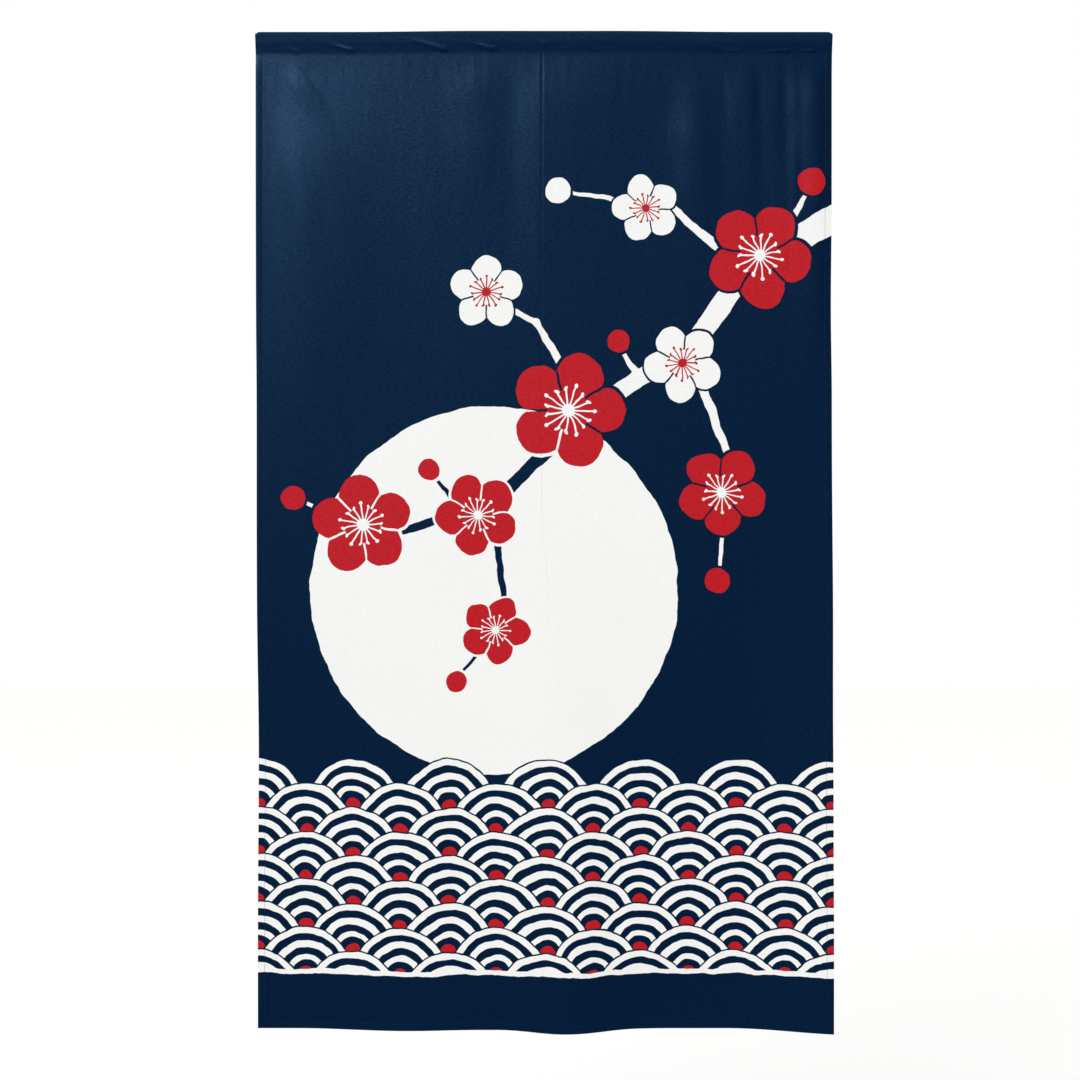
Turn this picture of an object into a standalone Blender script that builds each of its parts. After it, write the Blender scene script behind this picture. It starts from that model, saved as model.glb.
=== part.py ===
"""A noren, the curtain that hangs across a doorway: one length of cloth with a rod pocket sewn along its top.

It hangs from its top edge, with its face towards -Y and +Z up. The origin is at the middle of the top edge.
Lengths are in metres, and "down" is a distance below the top edge.
"""

from collections import namedtuple
from math import asin, cos, pi, sin

import bmesh
import bpy

# The cloth as it hangs
DROP = 1.4765
CLOTH_THICKNESS = 0.0012
HEM_THICKNESS = 0.0020
HEM_WIDTH = 0.012
HEM_STEP = 0.0015

# It hangs plumb, so what its folds bring forward at the foot, the whole foot swings back
SET_BACK = 0.0115

# The top edge bows up a little in its middle
TOP_SAG = 0.0016
SAG_STARTS = 0.10
SAG_LENGTH = 0.20

# The rod pocket is a loop of cloth, round over the rod and drawn in to a seam at its foot
POCKET_TALL = 0.031
ROD_SIDE_RADIUS = 0.0065
SEAM_RADIUS = 0.0014
POCKET_INSIDE_FOOT = 0.0275
INSIDE_FOOT_RADIUS = 0.0003
CORNER_LENGTH = 0.005
CORNER_DROP = 0.0022
ROD_SIDE_POINTS = 13
SEAM_POINTS = 5
POCKET_LENGTHS = 24

# The panel starts this far under the pocket's seam
PANEL_GAP = 0.0003
PANEL_COLUMNS = 74
PANEL_ROWS = 20
ROW_CROWDING = 1.45

CLOTH_COLOUR = "#0c2544"
CLOTH_ROUGHNESS = 0.85
SHARP_ANGLE = pi / 3

# Where the two side edges hang, at distances down
Outline = namedtuple("Outline", "down left right")
OUTLINE = (
    Outline(0.0000, -0.4263, 0.4251),
    Outline(0.2500, -0.4263, 0.4251),
    Outline(0.4000, -0.4262, 0.4241),
    Outline(0.5450, -0.4255, 0.4256),
    Outline(0.8400, -0.4260, 0.4270),
    Outline(1.0600, -0.4244, 0.4257),
    Outline(1.2800, -0.4252, 0.4250),
    Outline(DROP, -0.4250, 0.4244),
)

# How full the pocket is along its length, as a share of its usual depth
Fullness = namedtuple("Fullness", "across share")
FULLNESS = (
    Fullness(-0.4263, 0.97),
    Fullness(-0.330, 1.05),
    Fullness(-0.215, 0.96),
    Fullness(-0.115, 1.08),
    Fullness(0.010, 0.98),
    Fullness(0.150, 1.06),
    Fullness(0.235, 0.95),
    Fullness(0.345, 1.04),
    Fullness(0.4251, 0.98),
)

# Folds that still grow at the foot would die out this far down
PAST_FOOT = 2.400

# Each fold stands proud of the cloth by its depth, or behind it where the depth is negative. Its ridge runs
# from x_start at the distance down "start" to x_end at "end", and it is deepest at "peak". Left and right are
# how far its two flanks reach.
Fold = namedtuple("Fold", "name x_start x_end left right start peak end depth")
FOLDS = (
    Fold("left streak", -0.374, -0.335, 0.040, 0.055, POCKET_TALL, 0.200, 0.640, 0.0042),
    Fold("corner drag", -0.386, -0.285, 0.020, 0.026, POCKET_TALL, 0.090, 0.240, 0.0024),
    Fold("middle ridge", -0.004, -0.002, 0.062, 0.165, POCKET_TALL, 0.110, 0.600, 0.0046),
    Fold("right ridge", 0.222, 0.232, 0.048, 0.042, POCKET_TALL, 0.130, 0.400, 0.0034),
    Fold("first ripple", 0.299, 0.304, 0.017, 0.016, POCKET_TALL, 0.110, 0.350, 0.0016),
    Fold("second ripple", 0.327, 0.332, 0.016, 0.018, POCKET_TALL, 0.110, 0.340, 0.0015),
    Fold("third ripple", 0.362, 0.367, 0.018, 0.018, POCKET_TALL, 0.120, 0.370, 0.0020),
    Fold("fourth ripple", 0.397, 0.400, 0.018, 0.018, POCKET_TALL, 0.100, 0.330, 0.0018),
    Fold("left tuck", -0.430, -0.430, 0.080, 0.110, 0.700, 1.080, 1.440, -0.0060),
    Fold("left swell", -0.190, -0.210, 0.170, 0.200, 0.420, DROP, PAST_FOOT, 0.0150),
    Fold("middle swell", 0.010, 0.030, 0.170, 0.170, 0.520, DROP, PAST_FOOT, 0.0140),
    Fold("middle roll", 0.010, 0.050, 0.100, 0.100, 0.760, DROP, PAST_FOOT, 0.0195),
    Fold("right curl", 0.470, 0.445, 0.190, 0.190, 0.620, DROP, PAST_FOOT, 0.0360),
)


def ease(share):
    """A share from 0 to 1 that starts and stops gently."""
    share = min(max(share, 0.0), 1.0)
    return share * share * (3 - 2 * share)


def between(rows, at, column):
    """The value of a column, eased from row to row, where the first column reads at."""
    if at <= rows[0][0]:
        return getattr(rows[0], column)
    for low, high in zip(rows, rows[1:]):
        if at <= high[0]:
            share = ease((at - low[0]) / (high[0] - low[0]))
            return getattr(low, column) * (1 - share) + getattr(high, column) * share
    return getattr(rows[-1], column)


def top_height(across):
    """The height of the top edge, which is 0 in its middle."""
    return -TOP_SAG * ease((abs(across) - SAG_STARTS) / SAG_LENGTH)


def fold_depth(fold, across, down):
    """How far one fold stands out of the cloth at a point."""
    if not fold.start < down < fold.end:
        return 0.0
    run = (down - fold.start) / (fold.end - fold.start)
    offset = across - (fold.x_start + (fold.x_end - fold.x_start) * run)
    reach = fold.left if offset < 0 else fold.right
    if abs(offset) >= reach:
        return 0.0
    if down < fold.peak:
        swell = ease((down - fold.start) / (fold.peak - fold.start))
    else:
        swell = ease((fold.end - down) / (fold.end - fold.peak))
    return fold.depth * swell * (1 + cos(pi * offset / reach)) / 2


def cloth_depth(across, down):
    """How far the folds bring the cloth's face in front of where it leaves the pocket."""
    return sum(fold_depth(fold, across, down) for fold in FOLDS) - SET_BACK * ease(down / DROP)


def cloth_material():
    """Dyed navy polyester, matt, with a soft sheen."""
    colour = [int(CLOTH_COLOUR[i : i + 2], 16) / 255 for i in (1, 3, 5)]
    linear = [c / 12.92 if c <= 0.04045 else ((c + 0.055) / 1.055) ** 2.4 for c in colour]
    material = bpy.data.materials.new("navy_cloth")
    material.use_nodes = True
    shader = material.node_tree.nodes["Principled BSDF"]
    shader.inputs["Base Color"].default_value = (*linear, 1)
    shader.inputs["Roughness"].default_value = CLOTH_ROUGHNESS
    shader.inputs["Metallic"].default_value = 0.0
    return material


def add_object(name, shape, material):
    """Make one object of a bmesh, with its faces shaded smooth but for its sharp edges."""
    mesh = bpy.data.meshes.new(name)
    shape.to_mesh(mesh)
    shape.free()
    mesh.materials.append(material)
    mesh.shade_smooth()
    mesh.set_sharp_from_angle(angle=SHARP_ANGLE)
    made = bpy.data.objects.new(name, mesh)
    bpy.context.scene.collection.objects.link(made)
    return made


def panel_columns():
    """Shares of the width at which the panel has a column of points, with the side hems' own at both ends."""
    width = OUTLINE[0].right - OUTLINE[0].left
    hem = [0.0, HEM_WIDTH / width, (HEM_WIDTH + HEM_STEP) / width]
    span = 1 - 2 * hem[-1]
    inner = [hem[-1] + span * i / PANEL_COLUMNS for i in range(1, PANEL_COLUMNS)]
    return hem + inner + [1 - share for share in reversed(hem)]


def panel_rows():
    """Distances down at which the panel has a row of points, closer together near the heading."""
    top = POCKET_TALL + PANEL_GAP
    foot = DROP - HEM_WIDTH - HEM_STEP
    body = [top + (foot - top) * (i / PANEL_ROWS) ** ROW_CROWDING for i in range(PANEL_ROWS + 1)]
    return body + [DROP - HEM_WIDTH, DROP]


def make_panel(material):
    """The cloth below the pocket: a grid bent into its folds, then given its thickness at the back."""
    columns = panel_columns()
    rows = panel_rows()
    shape = bmesh.new()
    bmesh.ops.create_grid(shape, x_segments=len(columns) - 1, y_segments=len(rows) - 1, size=0.5)
    hem_points = []
    for index, point in enumerate(shape.verts):
        column = round((point.co.x + 0.5) * (len(columns) - 1))
        row = round((0.5 - point.co.y) * (len(rows) - 1))
        down = rows[row]
        left = between(OUTLINE, down, "left")
        right = between(OUTLINE, down, "right")
        across = left + (right - left) * columns[column]
        hang = ease((DROP - down) / DROP)
        face = -CLOTH_THICKNESS / 2 - cloth_depth(across, down)
        point.co = (across, face, top_height(across) * hang - down)
        if column <= 1 or column >= len(columns) - 2 or row >= len(rows) - 2:
            hem_points.append(index)
    made = add_object("panel", shape, material)
    hems = made.vertex_groups.new(name="hems")
    hems.add(hem_points, 1.0, "REPLACE")
    thickness = made.modifiers.new("thickness", "SOLIDIFY")
    thickness.thickness = HEM_THICKNESS
    thickness.offset = -1
    thickness.vertex_group = hems.name
    thickness.thickness_vertex_group = CLOTH_THICKNESS / HEM_THICKNESS
    return made


def belt(rod_radius, foot_radius, foot_middle):
    """The outline of a band round the rod's side of the pocket and its foot, as (y, z) points in order."""
    rod_middle = -ROD_SIDE_RADIUS
    lean = asin((rod_radius - foot_radius) / (rod_middle - foot_middle))
    points = []
    for i in range(ROD_SIDE_POINTS):
        turn = -lean + (pi + 2 * lean) * i / (ROD_SIDE_POINTS - 1)
        points.append((rod_radius * cos(turn), rod_middle + rod_radius * sin(turn)))
    for i in range(SEAM_POINTS):
        turn = pi + lean + (pi - 2 * lean) * i / (SEAM_POINTS - 1)
        points.append((foot_radius * cos(turn), foot_middle + foot_radius * sin(turn)))
    return points


def add_ring(shape, outline, across):
    """A closed ring of edges through the points of an outline."""
    points = [shape.verts.new((across, y, z)) for y, z in outline]
    return [shape.edges.new(pair) for pair in zip(points, points[1:] + points[:1])]


def pocket_stations():
    """The places along the pocket at which it has a section, with one just inside each rounded corner."""
    left, right = OUTLINE[0].left, OUTLINE[0].right
    start, stop = left + CORNER_LENGTH, right - CORNER_LENGTH
    inner = [start + (stop - start) * i / POCKET_LENGTHS for i in range(POCKET_LENGTHS + 1)]
    return [left] + inner + [right]


def make_rod_pocket(material):
    """The sleeve along the top: a loop of cloth drawn out along the width, with uneven fullness."""
    stations = pocket_stations()
    outside = belt(ROD_SIDE_RADIUS, SEAM_RADIUS, SEAM_RADIUS - POCKET_TALL)
    inside = belt(ROD_SIDE_RADIUS - CLOTH_THICKNESS, INSIDE_FOOT_RADIUS, -POCKET_INSIDE_FOOT)
    shape = bmesh.new()
    rings = add_ring(shape, outside, stations[0]) + add_ring(shape, inside, stations[0])
    bmesh.ops.bridge_loops(shape, edges=rings)
    for previous, station in zip(stations, stations[1:]):
        drawn = bmesh.ops.extrude_edge_only(shape, edges=rings)["geom"]
        points = [item for item in drawn if isinstance(item, bmesh.types.BMVert)]
        bmesh.ops.translate(shape, verts=points, vec=(station - previous, 0, 0))
        rings = [item for item in drawn if isinstance(item, bmesh.types.BMEdge)]
    bmesh.ops.bridge_loops(shape, edges=rings)
    bmesh.ops.recalc_face_normals(shape, faces=shape.faces)
    for point in shape.verts:
        across, y, z = point.co
        over_rod = ease(1 + z / POCKET_TALL)
        from_end = min(across - stations[0], stations[-1] - across)
        corner = CORNER_DROP * ease(1 - from_end / CORNER_LENGTH) * ease(1 + z / (2 * ROD_SIDE_RADIUS))
        point.co.y = y * (1 + (between(FULLNESS, across, "share") - 1) * over_rod)
        point.co.z = z + top_height(across) - corner
    return add_object("rod_pocket", shape, material)


for old in list(bpy.data.objects):
    bpy.data.objects.remove(old)

cloth = cloth_material()
make_panel(cloth)
make_rod_pocket(cloth)
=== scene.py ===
"""The looks of a noren, the printed curtain that hangs across a doorway.

Lengths are in metres. "Down" is a distance below the top edge, and "across" is measured from the middle.
"""

from collections import namedtuple
from math import asin, cos, exp, pi, radians, sin

import bmesh
import bpy
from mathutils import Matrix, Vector, noise


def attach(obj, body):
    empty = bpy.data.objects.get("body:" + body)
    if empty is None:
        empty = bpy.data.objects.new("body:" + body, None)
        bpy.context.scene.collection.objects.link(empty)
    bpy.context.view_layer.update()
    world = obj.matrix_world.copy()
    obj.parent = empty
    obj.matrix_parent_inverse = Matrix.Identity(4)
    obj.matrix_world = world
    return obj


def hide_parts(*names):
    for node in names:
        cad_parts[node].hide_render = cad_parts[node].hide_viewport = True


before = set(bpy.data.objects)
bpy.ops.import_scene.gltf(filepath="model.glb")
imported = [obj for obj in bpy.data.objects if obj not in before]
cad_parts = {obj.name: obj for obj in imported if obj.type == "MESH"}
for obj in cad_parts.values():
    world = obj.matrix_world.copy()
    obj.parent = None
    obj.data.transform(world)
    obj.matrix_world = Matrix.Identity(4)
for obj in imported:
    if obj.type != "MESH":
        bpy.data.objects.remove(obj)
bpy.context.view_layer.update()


# The cloth: one length of polyester plain weave, with narrow hems turned to the back along its sides and its
# foot. Its top is turned over to the back and sewn down as a sleeve for a rod, and it hangs from that sleeve
# in soft folds, with the crease that it was packed with still pressed down its middle.
DROP = 1.4765
SET_BACK = 0.0115
TOP_SAG = 0.0016
SAG_STARTS = 0.10
SAG_LENGTH = 0.20
POCKET_TALL = 0.031

# The two side edges, at distances down
Outline = namedtuple("Outline", "down left right")
OUTLINE = (
    Outline(0.0000, -0.4263, 0.4251),
    Outline(0.2500, -0.4263, 0.4251),
    Outline(0.4000, -0.4262, 0.4241),
    Outline(0.5450, -0.4255, 0.4256),
    Outline(0.8400, -0.4260, 0.4270),
    Outline(1.0600, -0.4244, 0.4257),
    Outline(1.2800, -0.4252, 0.4250),
    Outline(DROP, -0.4250, 0.4244),
)

# Each fold stands proud by its depth. Its ridge runs from x_start at the distance down "start" to x_end at
# "end", and is deepest at "peak"; left and right are how far its flanks reach.
PAST_FOOT = 2.400
Fold = namedtuple("Fold", "name x_start x_end left right start peak end depth")
FOLDS = (
    Fold("left streak", -0.372, -0.318, 0.052, 0.170, POCKET_TALL, 0.220, 0.640, 0.0054),
    Fold("left hang", -0.366, -0.340, 0.056, 0.150, 0.090, 0.290, 0.800, 0.0026),
    Fold("corner drag", -0.386, -0.285, 0.022, 0.036, POCKET_TALL, 0.090, 0.260, 0.0018),
    Fold("heading roll", -0.098, -0.094, 0.070, 0.052, POCKET_TALL, 0.100, 0.330, 0.0021),
    Fold("middle ridge", -0.004, -0.002, 0.050, 0.165, POCKET_TALL, 0.110, 0.600, 0.0030),
    Fold("right lull", 0.184, 0.190, 0.080, 0.040, POCKET_TALL, 0.120, 0.460, -0.0012),
    Fold("right ridge", 0.222, 0.232, 0.048, 0.042, POCKET_TALL, 0.130, 0.400, 0.0024),
    Fold("first ripple", 0.300, 0.306, 0.046, 0.020, POCKET_TALL, 0.110, 0.340, 0.0023),
    Fold("second ripple", 0.338, 0.347, 0.030, 0.018, POCKET_TALL, 0.090, 0.420, 0.0017),
    Fold("third ripple", 0.366, 0.371, 0.034, 0.014, POCKET_TALL, 0.120, 0.460, 0.0018),
    Fold("fourth ripple", 0.400, 0.404, 0.050, 0.019, POCKET_TALL, 0.110, 0.620, 0.0070),
    Fold("left tuck", -0.430, -0.430, 0.080, 0.110, 0.700, 1.080, 1.440, -0.0060),
    Fold("left swell", -0.190, -0.210, 0.170, 0.200, 0.420, DROP, PAST_FOOT, 0.0150),
    Fold("middle swell", 0.010, 0.030, 0.170, 0.170, 0.520, DROP, PAST_FOOT, 0.0140),
    Fold("middle roll", 0.014, 0.060, 0.100, 0.105, 0.760, DROP, PAST_FOOT, 0.0195),
    Fold("right curl", 0.470, 0.445, 0.190, 0.190, 0.620, DROP, PAST_FOOT, 0.0360),
)

# Folds shallower than a ripple come and go along their length, by up to RIPPLE_UNEVEN of their depth
RIPPLE = 0.0026
RIPPLE_UNEVEN = 0.9
RIPPLE_ALONG = 15.0
RIPPLE_ACROSS = 50.0
RIPPLE_SHIFT = 1.7

# Drag wrinkles where the sewing holds the cloth back: each is a ridge, or a groove where its height is
# negative, that widens and swells from its start, and ends short in the sleeve and gently in the panel
Wrinkle = namedtuple("Wrinkle", "x_start down_start x_end down_end reach height")
WRINKLES = (
    Wrinkle(-0.388, 0.0200, -0.360, 0.0312, 0.0036, 0.0012),
    Wrinkle(-0.329, 0.0140, -0.280, 0.0300, 0.0052, 0.0023),
    Wrinkle(-0.217, 0.0070, -0.140, 0.0300, 0.0062, 0.0028),
    Wrinkle(-0.124, 0.0150, -0.069, 0.0285, 0.0056, 0.0025),
    Wrinkle(-0.020, 0.0120, 0.012, 0.0225, 0.0044, 0.0013),
    Wrinkle(0.066, 0.0220, 0.086, 0.0312, 0.0034, 0.0009),
    Wrinkle(0.217, 0.0080, 0.263, 0.0300, 0.0052, 0.0022),
    Wrinkle(0.256, 0.0280, 0.290, 0.0285, 0.0032, 0.0014),
    Wrinkle(0.310, 0.0285, 0.367, 0.0285, 0.0034, 0.0020),
    Wrinkle(0.372, 0.0275, 0.404, 0.0283, 0.0032, 0.0018),
    Wrinkle(-0.380, 0.0330, -0.310, 0.1350, 0.0100, 0.0010),
    Wrinkle(-0.360, 0.0430, -0.336, 0.0800, 0.0080, -0.0006),
    Wrinkle(-0.404, 0.0340, -0.398, 0.1200, 0.0070, 0.0003),
    Wrinkle(-0.176, 0.0340, -0.160, 0.0860, 0.0090, 0.0005),
    Wrinkle(-0.160, 0.0340, -0.152, 0.0760, 0.0080, -0.0006),
    Wrinkle(-0.134, 0.0340, -0.128, 0.0720, 0.0070, 0.0004),
    Wrinkle(0.118, 0.0360, 0.110, 0.1300, 0.0140, -0.0005),
    Wrinkle(0.262, 0.0360, 0.272, 0.1500, 0.0120, -0.0006),
)
WRINKLE_NARROW = 0.45
WRINKLE_SWELLS = 0.75
TAIL_IN_SLEEVE = 0.12
TAIL_IN_PANEL = 0.50

# The pressed crease: where its line runs, and how sharp it still is, at distances down
Crease = namedtuple("Crease", "down x sharp")
CREASE = (
    Crease(0.034, -0.0034, 0.70),
    Crease(0.060, -0.0034, 1.00),
    Crease(0.190, -0.0036, 0.90),
    Crease(0.300, -0.0038, 0.50),
    Crease(0.740, -0.0044, 0.34),
    Crease(0.800, 0.0034, 0.30),
    Crease(0.880, 0.0040, 0.22),
    Crease(1.136, 0.0020, 0.00),
)

# Its section where it is sharpest: a low lip on its left, a smaller one on its right, and a sharp groove
Ridge = namedtuple("Ridge", "middle half height")
CREASE_SECTION = (
    Ridge(-0.0034, 0.0026, 0.00024),
    Ridge(0.0034, 0.0022, 0.00014),
    Ridge(0.0, 0.0012, -0.00040),
)
CREASE_LEFT = -0.010
CREASE_RIGHT = 0.008

# The cloth's way over the rod, inside the room that the sleeve's solid gives it
ROD_SIDE_RADIUS = 0.0065
SEAM_HALF = 0.0007
FACE_HALF = 0.0006
CORNER_LENGTH = 0.005
CORNER_DROP = 0.0022

# The turned-over flap at the back, as (y, down) points from its end up to the seam
FLAP = ((0.0013, 0.0345), (0.0013, 0.0333), (0.0010, 0.0320))

# How full the sleeve is along its length, as a share of its usual depth
Fullness = namedtuple("Fullness", "across share")
FULLNESS = (
    Fullness(-0.4263, 0.97),
    Fullness(-0.330, 1.05),
    Fullness(-0.215, 0.96),
    Fullness(-0.115, 1.08),
    Fullness(0.010, 0.98),
    Fullness(0.150, 1.06),
    Fullness(0.235, 0.95),
    Fullness(0.345, 1.04),
    Fullness(0.4251, 0.98),
)

# How uneven the cloth is: each cloud's waves a metre, across and down, its shift and its height. The sway and
# the drape are those of cloth that hangs free, the puckers are drawn in by the seam, and the slack is the
# sleeve's, in front and at the back.
Cloud = namedtuple("Cloud", "across down shift height")
SWAY = Cloud(7.0, 4.0, 3.1, 0.0009)
DRAPE = Cloud(26.0, 7.0, 8.3, 0.0003)
PUCKERS = Cloud(80.0, 16.0, 5.9, 0.00020)
SLACK_FRONT = Cloud(30.0, 40.0, 1.0, 0.0004)
SLACK_BACK = Cloud(30.0, 40.0, 3.0, 0.0004)
DRAPE_ENDS = 1.2
PUCKERS_REACH = 0.120
SEAM_HOLDS = 0.030
SEAM_PINCH = 0.004
SLACK_STARTS = 0.010
SLACK_ENDS = 0.0015
SLACK_TOP = 0.006

# The real cloth is 0.35 mm thick, and is drawn a little thicker so that its edge shows
CLOTH_THICKNESS = 0.0006

# The hems: their face rolls back at the fold, and dips where the stitches pull it in. The side ones also curl
# near the top, and all of them thin out towards the sleeve, where the seam gathers them.
HEM_THICKNESS = 0.0015
HEM_WIDTH = 0.012
HEM_STITCH = 0.010
HEM_ROLL = 0.0004
HEM_ROLL_WIDTH = 0.0011
STITCH_DIP = 0.00022
STITCH_DIP_HALF = 0.0009
SIDE_CURL = 0.0013
CURL_WIDTH = 0.0105
CURL_ENDS = 0.75
CURL_FADES = 0.45
HEM_ENDS_ABOVE = 0.025
HEM_FADES_ABOVE = 0.012
HEM_STARTS_BELOW = 0.0355
HEM_FADES_BELOW = 0.005

# The mesh: where its columns stand beside the hems and the crease, how many rows it has over each side of the
# rod, down each flank of the sleeve and down the panel, and how they crowd towards the seam
HEM_COLUMNS = (0.0, 0.0011, 0.0045, 0.0088, 0.0100, 0.0112, 0.0120, 0.0126)
CREASE_COLUMNS = (-0.0085, -0.0060, -0.0038, -0.0022, -0.0010, 0.0, 0.0010, 0.0022, 0.0040, 0.0065)
CREASE_DRAWS = 0.060
COLUMN_STEP = 0.0037
OVER_ROWS = 6
FLANK_ROWS = 13
FLANK_CROWDING = 1.4
PANEL_ROWS = 150
PANEL_CROWDING = 1.35
SHARPEST_SMOOTH = 55


def ease(share):
    """A share from 0 to 1 that starts and stops gently."""
    share = min(max(share, 0.0), 1.0)
    return share * share * (3 - 2 * share)


def between(rows, at, column):
    """The value of a column, eased from row to row, where the first column reads at."""
    if at <= rows[0][0]:
        return getattr(rows[0], column)
    for low, high in zip(rows, rows[1:]):
        if at <= high[0]:
            share = ease((at - low[0]) / (high[0] - low[0]))
            return getattr(low, column) * (1 - share) + getattr(high, column) * share
    return getattr(rows[-1], column)


def top_height(across):
    """The height of the top edge, which is 0 in its middle."""
    return -TOP_SAG * ease((abs(across) - SAG_STARTS) / SAG_LENGTH)


def fold_depth(fold, across, down):
    """How far one fold stands out of the cloth at a point."""
    if not fold.start < down < fold.end:
        return 0.0
    run = (down - fold.start) / (fold.end - fold.start)
    offset = across - (fold.x_start + (fold.x_end - fold.x_start) * run)
    reach = fold.left if offset < 0 else fold.right
    if abs(offset) >= reach:
        return 0.0
    if down < fold.peak:
        swell = ease((down - fold.start) / (fold.peak - fold.start))
    else:
        swell = ease((fold.end - down) / (fold.end - fold.peak))
    if abs(fold.depth) < RIPPLE:
        place = Vector((fold.x_start * RIPPLE_ACROSS, down * RIPPLE_ALONG, RIPPLE_SHIFT))
        swell *= 1 + RIPPLE_UNEVEN * noise.noise(place)
    return fold.depth * swell * (1 + cos(pi * offset / reach)) / 2


def wrinkle_height(wrinkle, across, down):
    """How far one drag wrinkle stands out of the cloth at a point."""
    run_x = wrinkle.x_end - wrinkle.x_start
    run_down = wrinkle.down_end - wrinkle.down_start
    from_x = across - wrinkle.x_start
    from_down = down - wrinkle.down_start
    along = (from_x * run_x + from_down * run_down) / (run_x**2 + run_down**2)
    if not 0 < along < 1:
        return 0.0
    aside = abs(from_x * run_down - from_down * run_x) / (run_x**2 + run_down**2) ** 0.5
    reach = wrinkle.reach * (WRINKLE_NARROW + (1 - WRINKLE_NARROW) * along)
    if aside >= reach:
        return 0.0
    tail = TAIL_IN_SLEEVE if wrinkle.down_start < POCKET_TALL else TAIL_IN_PANEL
    swell = ease(along / WRINKLE_SWELLS) * ease((1 - along) / tail)
    return wrinkle.height * swell * (1 + cos(pi * aside / reach)) / 2


def crease_height(across, down):
    """How far the pressed crease stands out of the cloth at a point."""
    offset = across - between(CREASE, down, "x")
    if down <= POCKET_TALL or not CREASE_LEFT < offset < CREASE_RIGHT:
        return 0.0
    section = 0.0
    for ridge in CREASE_SECTION:
        section += ridge.height * exp(-(((offset - ridge.middle) / ridge.half) ** 2))
    return between(CREASE, down, "sharp") * section


def hem_height(from_edge):
    """How far the face of a hem stands out, at a distance from its edge."""
    roll = HEM_ROLL * ease(1 - from_edge / HEM_ROLL_WIDTH)
    dip = STITCH_DIP * exp(-(((from_edge - HEM_STITCH) / STITCH_DIP_HALF) ** 2))
    return -roll - dip


def hem_curl(from_left, from_right, down):
    """How far a side hem curls near the top: the left one forward, and the right one back."""
    lean = ease(1 - from_left / CURL_WIDTH) - ease(1 - from_right / CURL_WIDTH)
    return SIDE_CURL * lean * ease((down - POCKET_TALL) / SEAM_HOLDS) * ease((CURL_ENDS - down) / CURL_FADES)


def cloud_height(cloud, across, down):
    """How far one cloud of the unevenness stands out at a point."""
    return noise.noise(Vector((across * cloud.across, down * cloud.down, cloud.shift))) * cloud.height


def unevenness(across, down):
    """The gentle unevenness of cloth that hangs free, and the puckers that the seam draws into it."""
    below_seam = down - POCKET_TALL
    free = cloud_height(SWAY, across, down) + cloud_height(DRAPE, across, down) * ease(DRAPE_ENDS - down)
    puckers = cloud_height(PUCKERS, across, down) * ease(1 - below_seam / PUCKERS_REACH)
    return free * ease(below_seam / SEAM_HOLDS) + puckers * ease(below_seam / SEAM_PINCH)


def cloth_depth(across, down):
    """How far the panel's face stands in front of where it leaves the sleeve."""
    folds = sum(fold_depth(fold, across, down) for fold in FOLDS)
    wrinkles = sum(wrinkle_height(wrinkle, across, down) for wrinkle in WRINKLES)
    from_left = max(across - between(OUTLINE, down, "left"), 0.0)
    from_right = max(between(OUTLINE, down, "right") - across, 0.0)
    hems = hem_height(min(from_left, from_right)) + hem_height(DROP - down)
    small = unevenness(across, down) + crease_height(across, down) + hem_curl(from_left, from_right, down)
    return folds + wrinkles + hems + small - SET_BACK * ease(down / DROP)


def face_point(across, down):
    """A point of the panel's printed face."""
    height = top_height(across) * ease((DROP - down) / DROP) - down
    return Vector((across, -FACE_HALF - cloth_depth(across, down), height))


def sleeve_point(across, y, down):
    """A point of the sleeve's outer face, from its place on the usual section."""
    over_rod = ease(1 - down / POCKET_TALL)
    above_seam = POCKET_TALL - down
    side = 1 if y > 0 else -1
    cloud = SLACK_BACK if side > 0 else SLACK_FRONT
    slack = cloud_height(cloud, across, down) * ease(above_seam / SLACK_STARTS)
    if side < 0:
        slack += sum(wrinkle_height(wrinkle, across, down) for wrinkle in WRINKLES)
    slack *= ease(above_seam / SLACK_ENDS) * ease(down / SLACK_TOP)
    from_end = min(across - OUTLINE[0].left, OUTLINE[0].right - across)
    corner = CORNER_DROP * ease(1 - from_end / CORNER_LENGTH) * ease(1 - down / (2 * ROD_SIDE_RADIUS))
    share = 1 + (between(FULLNESS, across, "share") - 1) * over_rod
    return Vector((across, y * share + side * slack, top_height(across) - corner - down))


def cloth_columns():
    """The places across, at the top, at which the cloth has a column of points."""
    left = OUTLINE[0].left
    right = OUTLINE[0].right
    crease = CREASE[0].x
    columns = [left + step for step in HEM_COLUMNS]
    for start, stop in (
        (columns[-1], crease + CREASE_COLUMNS[0]),
        (crease + CREASE_COLUMNS[-1], right - HEM_COLUMNS[-1]),
    ):
        count = round((stop - start) / COLUMN_STEP)
        columns += [start + (stop - start) * i / count for i in range(1, count)]
        if start < crease:
            columns += [crease + step for step in CREASE_COLUMNS]
    return columns + [right - step for step in reversed(HEM_COLUMNS)]


def sleeve_rows():
    """The cloth's way over the rod, as (y, down) points from the flap's end to the seam in front."""
    lean = asin((ROD_SIDE_RADIUS - SEAM_HALF) / (POCKET_TALL - ROD_SIDE_RADIUS))
    half = []
    for i in range(OVER_ROWS + 1):
        turn = (pi / 2 + lean) * i / OVER_ROWS
        half.append((ROD_SIDE_RADIUS * sin(turn), ROD_SIDE_RADIUS * (1 - cos(turn))))
    y_off, down_off = half[-1]
    for i in range(1, FLANK_ROWS + 1):
        share = 1 - (1 - i / FLANK_ROWS) ** FLANK_CROWDING
        half.append((y_off + (SEAM_HALF - y_off) * share, down_off + (POCKET_TALL - down_off) * share))
    return list(FLAP) + list(reversed(half)) + [(-y, down) for y, down in half[1:]]


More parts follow.
